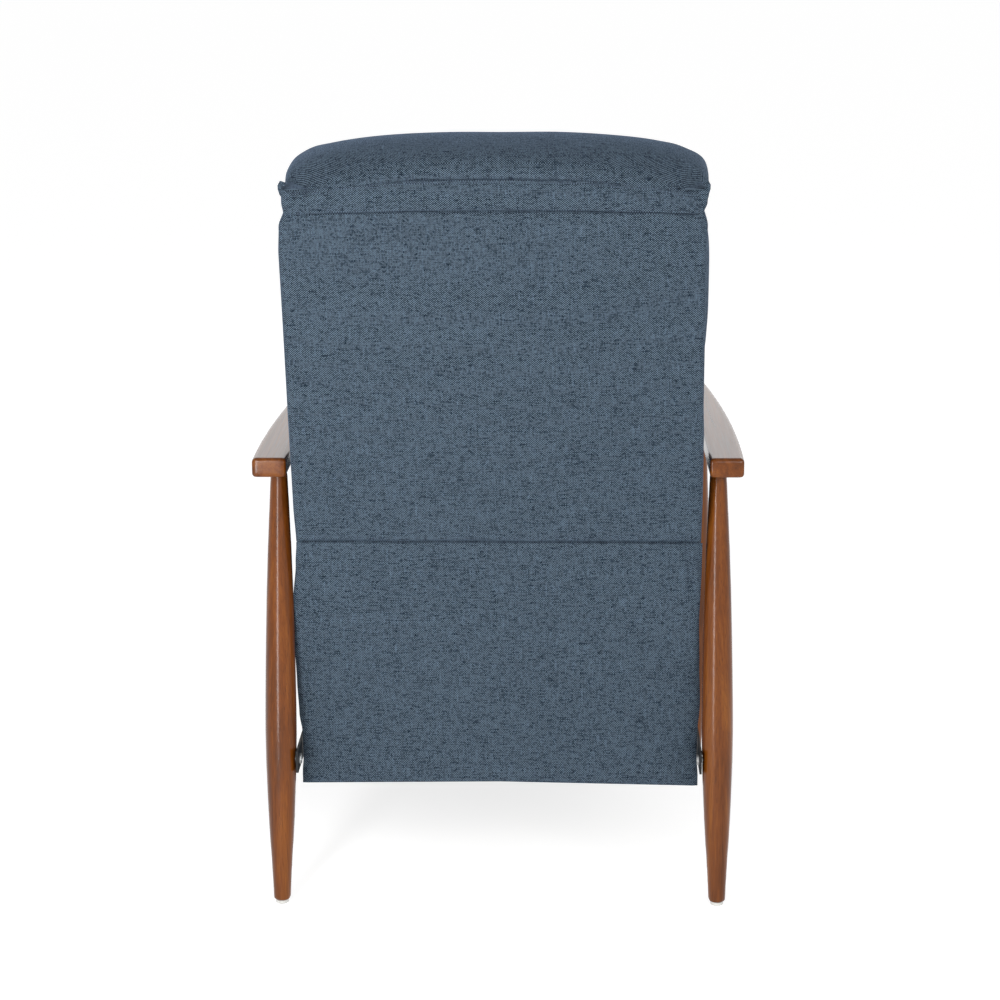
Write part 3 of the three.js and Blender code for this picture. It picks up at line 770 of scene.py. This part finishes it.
def rear_flap():
    """One piece of padded cloth from the seam under the outside back down to the hem."""
    hem_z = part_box("rear_flap_lower")[0].z
    hem_y = min(v.co.y for v in NODES["rear_flap_lower"].data.vertices if v.co.z < hem_z + MM) + 8 * MM
    top = on_back(0, 0.5 * MM, 1 * MM)
    left_at = curve_through([(0.0, 0.2640), (0.03, 0.2660), (0.08, 0.2705), (0.14, 0.2715), (0.20, 0.2700),
                             (0.245, 0.2685), (0.275, 0.2652), (0.31, 0.2652), (0.335, 0.2670)])
    right_at = curve_through([(0.0, 0.2665), (0.04, 0.2665), (0.07, 0.2655), (0.11, 0.2645), (0.17, 0.2660),
                              (0.23, 0.2680), (0.275, 0.2652), (0.31, 0.2652), (0.335, 0.2670)])
    length = math.hypot(top.y - hem_y, top.z - hem_z)
    rings = []
    for i in range(FLAP_ROWS + 1):
        t = i / FLAP_ROWS
        down = t * length
        y = top.y + (hem_y - top.y) * t
        z = top.z + (hem_z - top.z) * t
        left = left_at(down)
        right = right_at(down)
        hem = bump(down, length - 20 * MM, 2.2 * MM)
        thick = FLAP_THICKNESS * (1 - 0.25 * hem) * (0.55 + 0.45 * smooth(0, 14 * MM, down))
        if i in (0, FLAP_ROWS):
            thick *= 0.35
        ring = []
        for k in range(FLAP_COLUMNS + 1):
            x = -right + (left + right) * k / FLAP_COLUMNS
            edge = smooth(0, 7 * MM, min(left - x, x + right))
            wave = noise.noise(Vector((x * 9, down * 5, 7.0))) * 2.2 * MM * smooth(0, 0.05, down)
            roll_over = 1.3 * MM * bump(down, 8 * MM, 7 * MM) - 1.2 * MM * hem
            fold = flap_fold(x, down)
            corner_drop = flap_corner(x, down, length)
            ring.append(Vector((x, y + wave * edge + roll_over * edge - thick * 0.5 * (1 - edge) + fold,
                                z - corner_drop)))
        for k in range(FLAP_COLUMNS + 1):
            x = left - (left + right) * k / FLAP_COLUMNS
            edge = smooth(0, 7 * MM, min(left - x, x + right))
            wave = noise.noise(Vector((x * 9, down * 5, 7.0))) * 2.2 * MM * smooth(0, 0.05, down)
            ring.append(Vector((x, y - thick * (0.5 + 0.5 * edge) - 0.2 * MM + wave * edge,
                                z - flap_corner(x, down, length))))
        rings.append(ring)
    piece = loft("rear_flap", rings)
    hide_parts("rear_flap_upper", "rear_flap_lower")
    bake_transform(piece)
    return piece


def flap_fold(x, down):
    """A soft diagonal fold at the right end of the seam, seen from behind."""
    line = -0.2435 - 0.2 * down
    return (4.5 * MM * bump(x, line - 7 * MM, 5 * MM) - 5.5 * MM * bump(x, line + 1 * MM, 3.5 * MM)) \
        * smooth(0.095, 0.03, down) * smooth(-2 * MM, 4 * MM, down)


def flap_corner(x, down, length):
    """The hem's corners hang a little lower than its middle."""
    near_hem = smooth(length - 0.03, length, down)
    left = 2.5 * MM * smooth(0.250, 0.256, x)
    right = 4.5 * MM * smooth(-0.240, -0.262, x)
    return near_hem * (left + right)


# ---- Wood and wrapped boards ------------------------------------------------------------
WOOD_VOXEL = 2.2 * MM
WRAP_VOXEL = 4 * MM


def refine_wood():
    """Turned legs and shaped arms with their edges softened, in place of the faceted CAD solids."""
    for kind, material in (("armrest", WOOD_LEVEL), ("leg_front", WOOD_UPRIGHT), ("leg_rear", WOOD_UPRIGHT)):
        for side in ("left", "right"):
            node = f"{kind}_{side}"
            piece = copy_of(node + "_turned", node)
            remesh(piece, WOOD_VOXEL)
            relax(piece, 8)
            piece.data.shade_smooth()
            set_material(piece, material)
            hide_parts(node)
            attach(piece, "frame")


def wrap(node, body, name, wider):
    """A board or frame wrapped in cloth."""
    piece = copy_of(name, node)
    remesh(piece, WRAP_VOXEL)
    relax(piece, 5)
    axes = (Vector((1, 0, 0)), Vector((0, 1, 0)), Vector((0, 0, 1)))
    fit(piece, node, axes, ((wider, wider), (0, 0), (0, -1 * MM)))
    rumple(piece, 0.5 * MM, 20.0, 9.0)
    piece.data.shade_smooth()
    set_material(piece, CLOTH)
    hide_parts(node)
    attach(piece, body)


# ---- Studio --------------------------------------------------------------------------------------
def studio():
    bpy.ops.mesh.primitive_plane_add(size=60.0)
    floor = bpy.context.object
    floor.name = "studio_floor"
    set_material(floor, pale_floor())

    world = bpy.data.worlds.new("studio")
    bpy.context.scene.world = world
    world.use_nodes = True
    tree = world.node_tree
    direction = tree.nodes.new("ShaderNodeTexCoord").outputs["Generated"]
    split = tree.nodes.new("ShaderNodeSeparateXYZ")
    tree.links.new(direction, split.inputs[0])
    fade = tree.nodes.new("ShaderNodeMapRange")
    tree.links.new(split.outputs[2], fade.inputs["Value"])
    for key, value in (("From Min", 0.10), ("From Max", 0.42), ("To Min", 1.02), ("To Max", 0.55)):
        fade.inputs[key].default_value = value
    tree.nodes["Background"].inputs[0].default_value = (1.0, 1.0, 1.0, 1)
    tree.links.new(fade.outputs[0], tree.nodes["Background"].inputs[1])

    softbox("tall_softbox", azimuth=-21, distance=1.9, height=0.85, size=(0.25, 1.7), watts=24)
    softbox("broad_softbox", azimuth=26, distance=4.0, height=2.2, size=(2.6, 1.4), watts=76)
    softbox("front_softbox", azimuth=178, distance=4.2, height=1.9, size=(4.2, 1.8), watts=12)
    bpy.context.scene.view_settings.view_transform = "Standard"


def softbox(name, azimuth, distance, height, size, watts):
    """An area light. Azimuth 0 is straight behind the chair and positive is towards the sitter's right."""
    light = bpy.data.lights.new(name, "AREA")
    light.shape = "RECTANGLE"
    light.size, light.size_y = size
    light.energy = watts
    made = bpy.data.objects.new(name, light)
    a = math.radians(azimuth)
    made.location = (-distance * math.sin(a), distance * math.cos(a), height)
    aim = Vector((0, 0, 0.5)) - made.location
    made.rotation_mode = "QUATERNION"
    made.rotation_quaternion = aim.to_track_quat("-Z", "Y")
    made.visible_camera = False
    bpy.context.scene.collection.objects.link(made)


CAMERA_PLACE = (-0.083, 3.4015, 1.331)
CAMERA_AIM = (0.0242, -0.970, -0.2419)
CAMERA_LENS = 89.55  # mm, on a 36 mm sensor
CAMERA_SHIFT = -0.0014
CAMERA_ROLL = math.radians(-0.27)


def camera():
    """Behind the chair, a little above it and a touch to the sitter's right, looking down at it."""
    data = bpy.data.cameras.new("camera")
    data.sensor_width = 36
    data.lens = CAMERA_LENS
    data.shift_x = CAMERA_SHIFT
    made = bpy.data.objects.new("camera", data)
    bpy.context.scene.collection.objects.link(made)
    forward = Vector(CAMERA_AIM).normalized()
    right = forward.cross(Vector((0, 0, 1))).normalized()
    up = right.cross(forward)
    turned_right = right * math.cos(CAMERA_ROLL) + up * math.sin(CAMERA_ROLL)
    turned_up = up * math.cos(CAMERA_ROLL) - right * math.sin(CAMERA_ROLL)
    axes = Matrix((turned_right, turned_up, -forward)).transposed()
    made.matrix_world = Matrix.Translation(CAMERA_PLACE) @ axes.to_4x4()
    data.clip_end = 200
    bpy.context.scene.camera = made


camera()
dress_cad_nodes()
refine_wood()
wrap("seat_frame", "seat", "seat_border", 5 * MM)
wrap("footrest_board", "footrest", "footrest_wrap", 1 * MM)
outside_back()
head_roll()
roll_welt()
rear_flap()
make_cushions()
studio()
